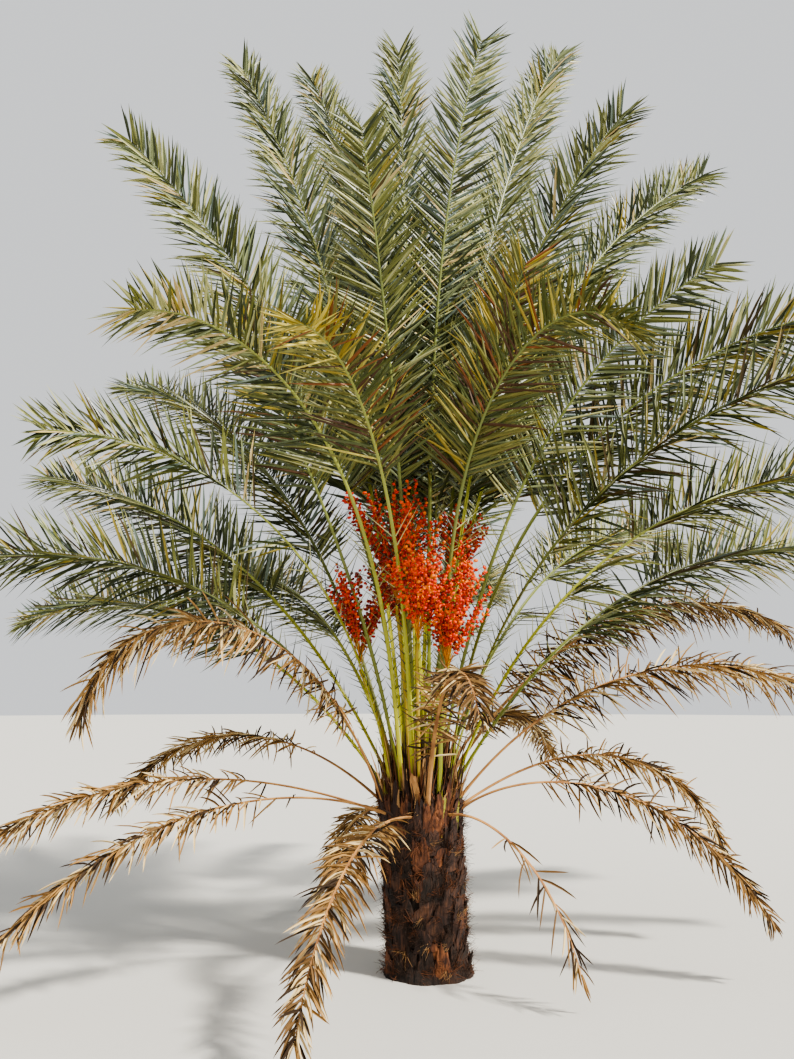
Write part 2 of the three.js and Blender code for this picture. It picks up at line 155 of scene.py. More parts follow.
def setStops(ramp, stops):
    elements = ramp.color_ramp.elements
    for element, (position, colour) in zip(elements, (stops[0], stops[-1])):
        element.position = position
        element.color = linearColour(colour)
    for position, colour in stops[1:-1]:
        elements.new(position).color = linearColour(colour)


# A noise pattern in which the surface also rises and sinks
def addGrain(tree, shader, place, scale, detail, strength, distance):
    grain = addNode(tree, "ShaderNodeTexNoise", {"Scale": scale, "Detail": detail}, {"Vector": place})
    bump = addNode(tree, "ShaderNodeBump", {"Strength": strength, "Distance": distance},
                   {"Height": grain.outputs["Fac"]})
    tree.links.new(bump.outputs["Normal"], shader.inputs["Normal"])
    return grain.outputs["Fac"]


def skinMaterial(name, colour, roughness, bumpStrength, patchSize):
    material, tree, shader = newMaterial(name, colour, roughness, 1.45)
    place = addNode(tree, "ShaderNodeTexCoord").outputs["Object"]
    bloom = addGrain(tree, shader, place, 1 / patchSize, 3.0, bumpStrength, 0.002)
    spread = addNode(tree, "ShaderNodeMapRange", {"To Min": roughness - 0.12, "To Max": roughness + 0.14},
                     {"Value": bloom})
    tree.links.new(spread.outputs["Result"], shader.inputs["Roughness"])
    return material


# One finish in several tones: colour, roughness and, where it differs, bump strength of each
def skinTones(stem, bumpStrength, tones, patchSize=0.022):
    return [skinMaterial(stem + tone, colour, roughness, *(own or [bumpStrength]), patchSize)
            for tone, colour, roughness, *own in tones]


# Living leaflets: waxy and stiff, grey-green with a thin bloom that gives a soft satin shine
greenLeaves = skinTones("waxyLeaflet", 0.25, [
    ("Grey", "#7b835c", 0.36),
    ("Olive", "#676a35", 0.36),
    ("Blue", "#68756a", 0.38),
    ("Deep", "#353d1e", 0.34),
    ("Pale", "#a8a873", 0.42),
    ("Straw", "#bda873", 0.55),
    ("Gold", "#8b7d30", 0.45),
    ("Brown", "#4a3c1d", 0.45),
])
# The young inner fronds are greyer; the older outer ones are browner, and also darker as painted shade
innerShares = [0.24, 0.20, 0.13, 0.22, 0.16, 0.03, 0.01, 0.01]
outerShares = [0.12, 0.26, 0.04, 0.32, 0.10, 0.04, 0.06, 0.06]
shadedNearShares = [0.09, 0.25, 0.05, 0.43, 0.07, 0.02, 0.03, 0.06]  # near the trunk, darker and duller: painted shade
ownShares = {  # fronds that differ from their neighbours
    "frond_06": [0.08, 0.40, 0.02, 0.32, 0.10, 0.02, 0.05, 0.01],
    "frond_08": [0.28, 0.14, 0.14, 0.10, 0.28, 0.05, 0.01, 0.00],
    "frond_22": [0.10, 0.24, 0.04, 0.28, 0.10, 0.04, 0.08, 0.12],
    "frond_23": [0.10, 0.26, 0.02, 0.20, 0.30, 0.08, 0.04, 0.00],
    "frond_24": [0.07, 0.25, 0.02, 0.28, 0.09, 0.04, 0.11, 0.14],
    "frond_27": [0.08, 0.26, 0.03, 0.29, 0.09, 0.04, 0.09, 0.12],
}
# The share of a green frond that has the darker painted shade, where it differs from the leaflet form's own
# share
shadedEnds = {"frond_20": 0.7, "frond_21": 0.7, "frond_23": 0.62, "frond_25": 0.5, "frond_32": 0.5}
# Leaflets that yellow with age: the bloom is gone and the green fades to ochre
tintedLeaves = skinTones("fadingLeaflet", 0.25, [
    ("Ochre", "#9a8733", 0.50),
    ("Olive", "#6e6c33", 0.45),
    ("Rust", "#7d4a22", 0.55, 0.3),
    ("Green", "#4d5529", 0.40),
    ("Yellow", "#c4b65c", 0.50),
    ("Umber", "#4a3019", 0.55, 0.3),
])
# How the outer end of each fading frond is coloured; nearer the trunk it is still green, and darker with
# umber as painted shade
tintedShares = {
    "frond_12": [0.30, 0.27, 0.10, 0.18, 0.09, 0.06],
    "frond_16": [0.24, 0.22, 0.10, 0.16, 0.14, 0.14],
    "frond_17": [0.28, 0.22, 0.02, 0.10, 0.35, 0.03],
    "frond_34": [0.07, 0.42, 0.01, 0.38, 0.09, 0.03],
}
tintedInnerShares = [0.03, 0.32, 0.03, 0.44, 0.02, 0.16]
# Dead leaflets: dry and dull as paper, straw to dark brown
deadLeaves = skinTones("dryLeaflet", 0.4, [
    ("Tan", "#9c7846", 0.80),
    ("Straw", "#d2bb8c", 0.82),
    ("Brown", "#6f5330", 0.80),
    ("Dark", "#3a2a1a", 0.85),
])
deadShares = [0.35, 0.24, 0.26, 0.15]
newlyDeadShares = [0.26, 0.10, 0.38, 0.26]


# Smooth living leaf stalks: bright yellow-green below, greener along the rib
def livingStalkMaterial(name, colours):
    material, tree, shader = newMaterial(name, colours[1], 0.38, 1.46)
    along = addNode(tree, "ShaderNodeAttribute", {"attribute_name": "along"})
    ramp = addNode(tree, "ShaderNodeValToRGB", links={"Fac": along.outputs["Fac"]})
    setStops(ramp, list(zip((0.0, 0.04, 0.2, 0.45, 1.0), colours)))
    place = addNode(tree, "ShaderNodeTexCoord").outputs["Object"]
    scurf = addGrain(tree, shader, place, 30.0, 4.0, 0.2, 0.002)  # brown scurf in patches of 30 mm
    mask = addNode(tree, "ShaderNodeMapRange", {"From Min": 0.55, "From Max": 0.75, "To Max": 0.45},
                   {"Value": scurf})
    mix = addNode(tree, "ShaderNodeMix", {"data_type": "RGBA", 7: linearColour("#7c6a3a")},
                  {0: mask.outputs["Result"], 6: ramp.outputs["Color"]})
    tree.links.new(mix.outputs[2], shader.inputs["Base Color"])
    return material


# Dry leaf stalks: dull orange-brown wood with paler patches
def dryStalkMaterial():
    material, tree, shader = newMaterial("dryStalk", "#a8713c", 0.78)
    place = addNode(tree, "ShaderNodeTexCoord").outputs["Object"]
    patches = addGrain(tree, shader, place, 9.0, 5.0, 0.35, 0.003)  # patches about 110 mm long
    ramp = addNode(tree, "ShaderNodeValToRGB", links={"Fac": patches})
    setStops(ramp, [(0.3, "#7d5230"), (0.7, "#c39257")])
    tree.links.new(ramp.outputs["Color"], shader.inputs["Base Color"])
    return material


# Trunk bark: matted brown fibre over old leaf bases, with fibres running up the trunk
def barkMaterial(name, colours, fibreScale):
    material, tree, shader = newMaterial(name, colours[0], 0.92)
    place = addNode(tree, "ShaderNodeTexCoord").outputs["Object"]
    stretch = addNode(tree, "ShaderNodeMapping", {"Scale": (1.0, 1.0, 0.16)}, {"Vector": place})
    fibres = addGrain(tree, shader, stretch.outputs["Vector"], fibreScale, 4.0, 0.8, 0.006)
    patches = addNode(tree, "ShaderNodeTexNoise", {"Scale": 11.0, "Detail": 3.0},
                      {"Vector": place})  # patches about 90 mm across
    half = addNode(tree, "ShaderNodeMath", {"operation": "MULTIPLY", 1: 0.5}, {0: patches.outputs["Fac"]})
    blend = addNode(tree, "ShaderNodeMath", {"operation": "MULTIPLY_ADD", 1: 0.5},
                    {0: fibres, 2: half.outputs["Value"]})
    ramp = addNode(tree, "ShaderNodeValToRGB", links={"Fac": blend.outputs["Value"]})
    setStops(ramp, list(zip((0.36, 0.5, 0.66), colours)))
    tree.links.new(ramp.outputs["Color"], shader.inputs["Base Color"])
    return material


# Two copies of one stalk material, dealt to every other stalk; the second is darker throughout: painted shade
livingStalks = [
    livingStalkMaterial("livingStalkBright", ("#6b5f1e", "#b0ad2a", "#a9aa34", "#929843", "#8c9455")),
    livingStalkMaterial("livingStalkPaintedShade", ("#4c451a", "#7c8026", "#757c30", "#727b3b", "#7a844c")),
]
dryStalk = dryStalkMaterial()
trunkBark = barkMaterial("mattedTrunkFibre", ("#0f0a07", "#24170f", "#43291a"), 120.0)
baseBark = barkMaterial("oldLeafBase", ("#170e0b", "#33211a", "#5c3c28"), 90.0)
redBark = barkMaterial("rustyLeafBase", ("#24120b", "#54301c", "#8a5634"), 90.0)
stubBark = barkMaterial("greenStalkStub", ("#4a4418", "#84802c", "#a8a144"), 70.0)
# Coarse fibre: dry and dull, dark to pale brown
fibreSkins = skinTones("looseFibre", 0.4, [
    ("Dark", "#2a1a10", 0.86),
    ("Red", "#633a20", 0.86),
    ("Pale", "#94714a", 0.86),
])
# Ripening dates: smooth waxy skin, orange to deep red, with a soft shine
dateSkins = skinTones("dateSkin", 0.1, [
    ("Red", "#c02808", 0.40),
    ("Orange", "#de4a0c", 0.40),
    ("Dark", "#861505", 0.40),
    ("Amber", "#e8781c", 0.42),
], 0.008)
dateShares = [0.42, 0.32, 0.15, 0.11]
shadedDateShares = [0.42, 0.10, 0.45, 0.03]  # painted shade: the left bunch is darker
# Smooth orange fruit strands and the yellow-green stalk that bears them
strandSkins = skinTones("date", 0.2, [("Strand", "#c97f1e", 0.5), ("Stalk", "#a8922c", 0.45)], 0.03)
print("materials made")

# Joining many small shapes


def makePiece(name, verts, faces, indices, materials, slot, nodeNames, smooth=False):
    verts[:, 2] = np.maximum(verts[:, 2], 0)
    mesh = bpy.data.meshes.new(name)
    mesh.from_pydata(verts.astype(np.float32), [], faces.astype(np.int32))
    for material in materials:
        mesh.materials.append(material)
    mesh.polygons.foreach_set("material_index", indices.astype(np.int32))
    mesh.polygons.foreach_set("use_smooth", np.full(len(faces), smooth))
    mesh.update()
    piece = addObject(name, mesh)
    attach(piece, "root")
    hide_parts(*nodeNames)
    print(name, len(faces), "faces")
    return piece


def unit(vectors):
    return vectors / np.linalg.norm(vectors, axis=-1, keepdims=True)


def shapeArrays(bm):
    bmesh.ops.triangulate(bm, faces=bm.faces)
    bmesh.ops.recalc_face_normals(bm, faces=bm.faces)
    bm.verts.index_update()
    verts = np.array([v.co[:] for v in bm.verts])
    faces = np.array([[v.index for v in f.verts] for f in bm.faces])
    bm.free()
    return verts, faces


# Copies of one shape, each with its own place, size and direction for its Z axis.
def joinCopies(shape, places, ways, sizes, rolls):
    verts, faces = shape
    level = np.where(np.abs(ways[:, 2:3]) > 0.9, [[1.0, 0.0, 0.0]], [[0.0, 0.0, 1.0]])
    x = unit(np.cross(level, ways))
    y = np.cross(ways, x)
    turnedX = x * np.cos(rolls)[:, None] + y * np.sin(rolls)[:, None]
    turnedY = np.cross(ways, turnedX)
    axes = np.stack([turnedX, turnedY, ways], axis=2) * sizes[:, None, :]
    allVerts = np.einsum("kij,nj->kni", axes, verts) + places[:, None, :]
    allFaces = faces[None] + (np.arange(len(places)) * len(verts))[:, None, None]
    return allVerts.reshape(-1, 3), allFaces.reshape(-1, 3)


def stack(parts):
    verts, faces, indices = zip(*parts)
    starts = np.cumsum([0] + [len(part) for part in verts])
    faces = [part + start for part, start in zip(faces, starts)]
    return [np.concatenate(rows) for rows in (verts, faces, indices)]


# A straight rod of a given section between z 0 and 1, in a number of rings
def rodShape(section, rings):
    bm = bmesh.new()
    ring = bmesh.ops.create_circle(bm, segments=len(section), radius=1.0)["verts"]
    for vert, (x, y) in zip(ring, section):
        vert.co = (x, y, 0)
    bmesh.ops.spin(bm, geom=bm.verts[:] + bm.edges[:], axis=(0, 0, 1), cent=(0, 0, 0),
                   dvec=(0, 0, 1 / (rings - 1)), angle=0, steps=rings - 1)
    bmesh.ops.holes_fill(bm, edges=[e for e in bm.edges if e.is_boundary])
    return shapeArrays(bm)


# A rod bent along a line: the place of each ring, and there its half widths the two ways
def bendRod(rod, places, halfX, halfY):
    verts, faces = rod
    ring = np.rint(verts[:, 2] * (len(places) - 1)).astype(int)
    return places[ring] + halfX[ring] * verts[:, :1] + halfY[ring] * verts[:, 1:2], faces, ring


# Where the fronds grow: the same rule as the solids'

trunk = {
    "height": 0.9,
    "groundRadius": 0.268,
    "waistRadius": 0.222,
    "rimRadius": 0.232,
    "flareHeight": 0.13,
    "domeHeight": 0.28,
    "shiftX": -0.045,
}
crown = {
    "footRadius": 0.214,
    "footHigh": 1.15,
    "footLow": 0.9,
    "sideRadius": 0.195,
    "sideHeight": 0.858,
    "footSpacing": 0.058,
    "turnStep": 4,
}
frondForm = {
    "bareLength": 1.3,  # a live stalk is bare, but for spines, up to here
    "bareShare": 0.22,  # a dead one for this share of its length
    "footWidth": 0.052,
    "stalkWidth": 0.034,
    "tipWidth": 0.008,
    "flareShare": 0.1,
    "pointShare": 0.03,  # over which the rib comes to its point
    "flatness": 0.62,
    "leafletLength": 0.43,
    "rootShare": 0.55,
    "swellStart": 0.18,
    "swellSpan": 0.68,
    "tipLoss": 0.3,
    "deadShare": 0.66,
    "deadHang": 0.3,
    "twistShare": 0.35,
    "curveSteps": 90,
}
# Fronds from the youngest to the oldest: state, azimuth, lean at the foot, lean at the tip,
# length, how late it bends, and its blade's twist
liveFronds = [
    ("green", 30, 3, 6, 2.9, 1.0, 0),
    ("green", 200, 3, 10, 3.6, 1.0, 20),
    ("green", 100, 3, 12, 4.88, 1.3, -10),
    ("green", 325, 0, 19, 4.37, 2.55, -55),
    ("green", 125, 6, 32, 5.3, 1.6, -35),
    ("green", 250, 6, 25, 3.54, 1.35, 20),
    ("green", 150, 7, 29, 5.0, 1.6, -60),
    ("green", 45, 4, 33, 5.39, 1.55, 45),
    ("green", 75, 9, 40, 4.7, 1.6, 20),
    ("green", 190, 3, 46, 4.14, 1.05, -85),
    ("green", 350, 4, 39, 4.15, 1.85, 80),
    ("tinted", 304, 6, 38, 2.89, 1.7, -35),
    ("green", 111, 7, 52, 4.5, 1.5, -15),
    ("green", 336, 13, 65, 3.41, 1.9, -60),
    ("green", 25, 7, 58, 4.98, 1.4, 65),
    ("tinted", 210, 9, 32, 2.73, 0.75, 50),
    ("tinted", 254, 8, 105, 3.1, 1.8, 15),
    ("green", 60, 16, 68, 4.3, 1.4, 35),
    ("green", 92, 20, 76, 4.2, 1.3, 0),
    ("green", 140, 18, 78, 4.2, 1.3, -30),
    ("green", 160, 27, 82, 3.3, 1.2, -50),
    ("green", 352, 6, 88, 4.1, 1.2, 80),
    ("green", 233, 7, 111, 3.42, 1.9, 35),
    ("green", 340, 13, 96, 3.9, 1.2, 60),
    ("green", 205, 10, 96, 3.0, 1.35, -60),
    ("green", 50, 28, 100, 4.0, 1.1, 30),
    ("green", 12, 21, 103, 4.1, 1.1, 50),
    ("green", 78, 34, 104, 3.8, 1.1, 10),
    ("green", 120, 33, 104, 3.8, 1.1, -20),
    ("green", 25, 34, 106, 4.2, 1.1, 45),
    ("green", 150, 38, 108, 3.6, 1.1, -40),
    ("green", 185, 22, 108, 3.1, 1.1, -50),
    ("dead", 35, 39, 110, 3.9, 1.1, 30),
    ("tinted", 300, 3, 142, 3.49, 2.8, -30),
    ("dead", 10, 39, 132, 3.1, 1.1, 20),
    ("dead", 202, 23, 174, 2.4, 1.85, -20),
]
skirtFronds = [
    ("dead", 280, 20, 150, 1.65, 1.8, 0),
    ("dead", 65, 48, 128, 2.6, 1.1, 0),
    ("dead", 148, 52, 138, 2.5, 1.1, 0),
    ("dead", 15, 58, 162, 2.05, 1.5, 20),
    ("dead", 350, 48, 151, 1.98, 0.75, 20),
    ("dead", 314, 67, 165, 1.28, 0.6, 0),
    ("dead", 254, 84, 155, 1.95, 1.6, 0),
    ("dead", 205, 67, 148, 2.6, 0.9, 0),
    ("dead", 190, 70, 138, 2.7, 1.3, 0),
    ("dead", 95, 74, 152, 2.2, 1.2, 0),
    ("dead", 112, 88, 156, 1.8, 1.2, 0),
]


def direction(azimuth, lean):
    azimuth, lean = np.radians(azimuth), np.radians(lean)
    return np.stack([np.cos(azimuth) * np.sin(lean), np.sin(azimuth) * np.sin(lean),
                     np.cos(lean) * np.ones_like(azimuth)], axis=-1)


def trunkCentre(z):
    return np.array([trunk["shiftX"] * min(1, z / trunk["height"]), 0, z])


def trunkRadius(z):
    flare = (trunk["groundRadius"] - trunk["waistRadius"]) * max(0, 1 - z / trunk["flareHeight"]) ** 2
    return trunk["waistRadius"] + flare + (trunk["rimRadius"] - trunk["waistRadius"]) * (z / trunk["height"])


feet = []


def footPlace(azimuth, radius, height):
    for turn in range(90 // crown["turnStep"] + 1):
        for sign in (1, -1):
            foot = direction(azimuth + sign * turn * crown["turnStep"], 90) * radius + [trunk["shiftX"], 0, 0]
            foot[2] = height
            if all(np.linalg.norm(other - foot) >= crown["footSpacing"] for other in feet):
                feet.append(foot)
                return foot
    raise ValueError(f"no room for a foot at {azimuth}")


def waysAt(frond, shares):
    lean = frond["lean"] + (frond["tipLean"] - frond["lean"]) * shares ** frond["bend"]
    return direction(np.full(len(shares), float(frond["azimuth"])), lean)


def growFrond(number, row, foot):
    frond = dict(zip(("state", "azimuth", "lean", "tipLean", "length", "bend", "twist"), row))
    steps = frondForm["curveSteps"]
    run = np.cumsum(waysAt(frond, (np.arange(steps) + 0.5) / steps) * frond["length"] / steps, axis=0)
    bare = frondForm["bareShare"] if frond["state"] == "dead" else frondForm["bareLength"] / frond["length"]
    name = f"frond_{number + 1:02d}"
    return {**frond, "name": name, "number": number, "points": np.vstack([foot, foot + run]),
            "leafStart": bare, "nodes": [node for node in nodes if node.startswith(name)]}


# The rib at many shares of its length: places and its own three directions.
def ribAt(frond, shares):
    steps = frondForm["curveSteps"]
    place = shares * steps
    step = np.minimum(place.astype(int), steps - 1)
    part = (place - step)[:, None]
    point = frond["points"][step] * (1 - part) + frond["points"][step + 1] * part
    along = waysAt(frond, shares)
    level = direction(frond["azimuth"] + 90, 90)
    turn = np.radians(frond["twist"]) * np.minimum(1, shares / frondForm["twistShare"])[:, None]
    side = level * np.cos(turn) + np.cross(along, level) * np.sin(turn)
    up = np.cross(along, side)
    flare = np.maximum(0, 1 - shares / frondForm["flareShare"]) ** 2
    width = (frondForm["tipWidth"] + (frondForm["stalkWidth"] - frondForm["tipWidth"]) * (1 - shares)
             + (frondForm["footWidth"] - frondForm["stalkWidth"]) * flare)
    width = width * np.clip((1 - shares) / frondForm["pointShare"], 0.05, 1)
    return {"share": shares, "point": point, "along": along, "side": side, "up": up, "width": width}


# Ways that stand off a rib to the side that the signs say
def waysOff(rib, signs, angle, vee):
    return (rib["along"] * np.cos(angle) + rib["side"] * signs * np.sin(angle) * np.cos(vee)
            + rib["up"] * np.sin(angle) * np.sin(vee))


fronds = []
for number, row in enumerate(liveFronds + skirtFronds):
    age = (number + 0.5) / len(liveFronds)
    height = crown["footHigh"] + (crown["footLow"] - crown["footHigh"]) * age
    place = (crown["footRadius"] * math.sqrt(age), height)
    if number >= len(liveFronds):
        place = (crown["sideRadius"], crown["sideHeight"])
    fronds.append(growFrond(number, row, footPlace(row[1], *place)))
print(len(fronds), "fronds grown")

# Fruit

fruit = {
    "strands": 34,
    "upright": 0.8,  # how far a bunch's strands set off upwards, not along its stalk
    "headLength": 0.12,  # of the stalk's end, which the strands leave
    "stalkRadii": (0.011, 0.009),
    "strandRadius": 0.0022,
    "strandSteps": 10,
    "leastLength": 0.75,  # of the shortest strand, as a share of its bunch's
    "lengthRange": 0.35,
    "bareShare": 0.25,
    "droop": 0.35,
    "spacing": 0.017,  # between dates on one strand
    "turn": 2.4,  # round the strand from one date to the next, in radians
    "dateSize": (0.018, 0.018, 0.026),
    "offset": 0.011,  # of a date's middle from its strand
    "stalkGap": 0.03,  # of a date's middle from a leaf stalk's
    "shadeBelow": -0.2,  # dates whose x is less than this are darker: painted shade
}
# For each bunch the length of its strands, their spread in degrees and the way it leans
bunches = {
    "bunch_top": (0.60, 27, (0, 0, 0)),
    "bunch_centre": (0.52, 33, (0, 0, 0)),
    "bunch_right": (0.54, 27, (0, 0, 0)),
    "bunch_left": (0.50, 30, (0.4, 0.1, 0.1)),
    "bunch_far": (0.36, 25, (0, 0, 0)),
    "bunch_back": (0.48, 38, (0, 0, 0)),
}


# The middle line of a bunch's stalk, by cuts through the solid from its foot up to where it widens
def stalkLine(node):
    low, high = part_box(node)
    line = []
    height = low.z + 0.03
    while height < high.z:
        bm = bmesh.new()
        bm.from_mesh(nodes[node].data)
        cut = bmesh.ops.bisect_plane(bm, geom=bm.verts[:] + bm.edges[:] + bm.faces[:], dist=1e-6,
                                     plane_co=(0, 0, height), plane_no=(0, 0, 1))["geom_cut"]
        spots = np.array([v.co[:] for v in cut if isinstance(v, bmesh.types.BMVert)])
        bm.free()
        if len(spots) == 0 or np.ptp(spots, axis=0).max() > 0.045:
            break
        line.append((spots.min(axis=0) + spots.max(axis=0)) / 2)
        height += 0.05
    return np.array(line)


def roundRod(sides, rings):
    angles = np.arange(sides) * 2 * math.pi / sides
    return rodShape(np.stack([np.cos(angles), np.sin(angles)], axis=1), rings)


def tubeAlong(rod, line, radii):
    ways = unit(np.gradient(line, axis=0))
    level = [1.0, 0.0, 0.0] if abs(ways[0, 2]) > 0.95 else [0.0, 0.0, 1.0]
    x = unit(np.cross(level, ways))
    y = np.cross(ways, x)
    return bendRod(rod, line, x * radii[:, None], y * radii[:, None])[:2]


def dateShape():
    bm = bmesh.new()
    bmesh.ops.create_uvsphere(bm, u_segments=6, v_segments=4, radius=0.5)
    return shapeArrays(bm)


def treeOf(spots):
    tree = KDTree(len(spots))
    for index, spot in enumerate(spots):
        tree.insert(spot, index)
    tree.balance()
    return tree


# A strand's line from the stalk's head: it sinks a little with each step
def strandLine(rng, top, head, heading, strandLength, spread):
    steps = fruit["strandSteps"]
    points = [top + (head - top) * rng.random()]
    off = direction(360 * rng.random(), 90)
    tilt = math.radians(spread * math.sqrt(rng.random()))
    way = unit(heading * math.cos(tilt) + off * math.sin(tilt))
    length = strandLength * (fruit["leastLength"] + fruit["lengthRange"] * rng.random())
    for step in range(steps):
        points.append(points[-1] + way * length / steps)
        way = unit(way - [0, 0, fruit["droop"] / steps])
    return np.array(points), length


# Dates sit round a strand's outer part, each pointing outwards and a little along it.
def datesOn(rng, points, length):
    count = int(length * (1 - fruit["bareShare"]) / fruit["spacing"])
    shares = fruit["bareShare"] + (1 - fruit["bareShare"]) * (np.arange(count) + 0.5) / count
    at = shares * fruit["strandSteps"]
    step = np.minimum(at.astype(int), fruit["strandSteps"] - 1)
    middle = points[step] + (points[step + 1] - points[step]) * (at - step)[:, None]
    along = unit(points[step + 1] - points[step])
    x = unit(np.cross(along, [0.3, 0.2, 0.9]))
    y = np.cross(along, x)
    angles = np.arange(count) * fruit["turn"] + 6.28 * rng.random() + rng.normal(0, 0.3, count)
    out = x * np.cos(angles)[:, None] + y * np.sin(angles)[:, None]
    return middle + out * fruit["offset"], unit(out * 0.8 + along * 0.55 - [0, 0, 0.25])


def buildFruit():
    rng = np.random.default_rng(5)
    ribTree = treeOf(np.concatenate([ribAt(frond, np.linspace(0, 0.7, 240))["point"] for frond in fronds]))
    strandRod = roundRod(3, fruit["strandSteps"] + 1)
    radii = np.linspace(fruit["strandRadius"], fruit["strandRadius"] * 0.6, fruit["strandSteps"] + 1)
    tubes, dates = [], []
    for node, (strandLength, spread, leans) in bunches.items():
        line = stalkLine(node)
        stalkRadii = np.linspace(*fruit["stalkRadii"], len(line))
        tubes.append((*tubeAlong(roundRod(8, len(line)), line, stalkRadii), 1))
        top = line[-1]
        heading = unit(unit(top - line[-4]) + [0, 0, fruit["upright"]] + leans)
        head = top + heading * fruit["headLength"]
        for strand in range(fruit["strands"]):
            points, length = strandLine(rng, top, head, heading, strandLength, spread)
            tubes.append((*tubeAlong(strandRod, points, radii), 0))
            dates.append(datesOn(rng, points, length))
    places, ways = (np.concatenate(rows) for rows in zip(*dates))
    clear = np.array([ribTree.find(place)[2] > fruit["stalkGap"] for place in places])
    places, ways = places[clear], ways[clear]
    count = len(places)
    sizes = fruit["dateSize"] * rng.uniform(0.85, 1.12, (count, 1))
    shape = dateShape()
    verts, faces = joinCopies(shape, places, ways, sizes, rng.uniform(0, 6.28, count))
    # Dates on the left are given darker colours: painted shade
    indices = np.where(places[:, 0] < fruit["shadeBelow"],
                       rng.choice(len(dateSkins), count, p=shadedDateShares),
                       rng.choice(len(dateSkins), count, p=dateShares))
    indices = np.repeat(indices, len(shape[1]))
    makePiece("dates", verts, faces, indices, dateSkins, "dates", bunches, smooth=True)
    strands = stack([(verts, faces, np.full(len(faces), skin)) for verts, faces, skin in tubes])
    makePiece("dateStrands", *strands, strandSkins, "dates", bunches, smooth=True)
    return places


datePlaces = buildFruit()
print("fruit made,", len(datePlaces), "dates")

# Leaflets

leaflet = {
    "pitch": 0.0122,  # along the rib, on each side
    "width": 0.0155,
    "sections": (0.0, 0.16, 0.62),
    "widths": (0.45, 1.0, 0.85),
    "foldRise": 0.45,  # of the edges over the fold, as a share of half the width
    "thickness": 0.002,
    "rootAngle": 62,  # from the rib, in degrees, at the blade's root
    "tipAngle": 42,
    "vees": (-10, 16, 44),  # leaflets point in turn below, along and over the rib's plane
    "scatter": 7,
    "roll": 24,
    "lengths": (0.9, 1.04),
    "sprayCount": 4,  # neighbours of which many share one colour
    "fruitGap": 0.06,
    "fruitFront": 0.12,  # a bunch keeps leaflets further away on its outer side
    "follow": 0.3,  # share of leaflets that take their spray's colour
    "fadeFrom": 0.66,  # share of a fading frond's blade that is still green
    "shadedShare": 0.3,  # share of a green one that is darker and duller: painted shade
    "fuzz": 0.12,  # how far the border between the two scatters
    "edgeGap": 0.012,  # from the model's box and the ground
    "leastFit": 0.35,  # one cut shorter than this share is left out
}
deadLeaflet = {
    "pitch": 0.0108,
    "width": 0.0125,
    "sections": (0.0, 0.3, 0.62, 0.85),
    "widths": (0.6, 1.0, 0.9, 0.6),
    "foldRise": 1.0,
    "rootAngle": 74,
    "tipAngle": 50,
    "vees": (-20, 8, 36),
    "scatter": 10,
    "roll": 45,
    "lengths": (0.7, 1.04),
    "sprayCount": 6,
    "skirtShare": 0.68,  # length of the skirt's leaflets, against other dead ones
    "whole": (0.24, 0.42),  # along a skirt frond, where from few to most are left
    "wholeFrom": {"frond_37": 0.1, "frond_43": 0.1},  # fronds in front that have kept theirs
    "worn": {"frond_42": 0.3},  # what an old frond has left
    "newlyDead": ("frond_33", "frond_37", "frond_41"),  # still dark
    "hang": {"frond_33": 2.0, "frond_36": 2.2, "frond_42": 2.6},  # on these they hang more
}


def leafletLengths(age, state):
    rise = np.sin(math.pi * np.minimum(1, frondForm["swellSpan"] * age + frondForm["swellStart"]))
    swell = frondForm["rootShare"] + (1 - frondForm["rootShare"]) * rise
    shrunk = frondForm["deadShare"] if state == "dead" else 1
    return frondForm["leafletLength"] * swell * (1 - frondForm["tipLoss"] * age ** 3) * shrunk


# One pattern of faces joins the sections of each leaflet, its root and its tip.
def leafletFaces(sections):
    tip = sections * 4
    faces = [(0, 3, 1), (1, 3, 2)]
    for a in range(tip):
        b = a - a % 4 + (a + 1) % 4
        faces += [(a, b, b + 4), (a, b + 4, a + 4)] if a < tip - 4 else [(a, b, tip)]
    return np.array(faces)


# Places pressed together along the line from the crown's axis outwards
def flatten(spots):
    out = spots * [1, 1, 0] - [trunk["shiftX"], 0, 0]
    far = np.linalg.norm(out, axis=1, keepdims=True)
    return spots - out * (1 - leaflet["fruitFront"]) * np.where(far > 0.15, 1, 0)


fruitTree = treeOf(flatten(datePlaces))


# Leaflets among the fruit are left out. A bunch clears more room outwards than sideways.
def clearOfFruit(spots):
    return np.array([fruitTree.find(spot)[2] > leaflet["fruitGap"] for spot in flatten(spots)])


def dealColours(rng, frond, form, age):
    name, count = frond["name"], len(age)
    border = shadedEnds.get(name, leaflet["shadedShare"])
    if form is deadLeaflet:
        zones = [newlyDeadShares if name in deadLeaflet["newlyDead"] else deadShares] * 2
    elif frond["state"] == "tinted":
        zones = [tintedInnerShares, tintedShares[name]]
        border = leaflet["fadeFrom"]
    else:
        # Near the trunk a green frond's leaflets take darker shares: painted shade
        zones = [shadedNearShares, ownShares.get(name, innerShares if frond["number"] < 16 else outerShares)]
    sprays = np.arange(count) // form["sprayCount"]
    colours = []
    for shares in zones:
        common = rng.choice(len(shares), sprays.max() + 1, p=shares)[sprays]
        own = rng.choice(len(shares), count, p=shares)
        colours.append(np.where(rng.random(count) < leaflet["follow"], common, own))
    return np.where(age + rng.normal(0, leaflet["fuzz"], count) < border, *colours)


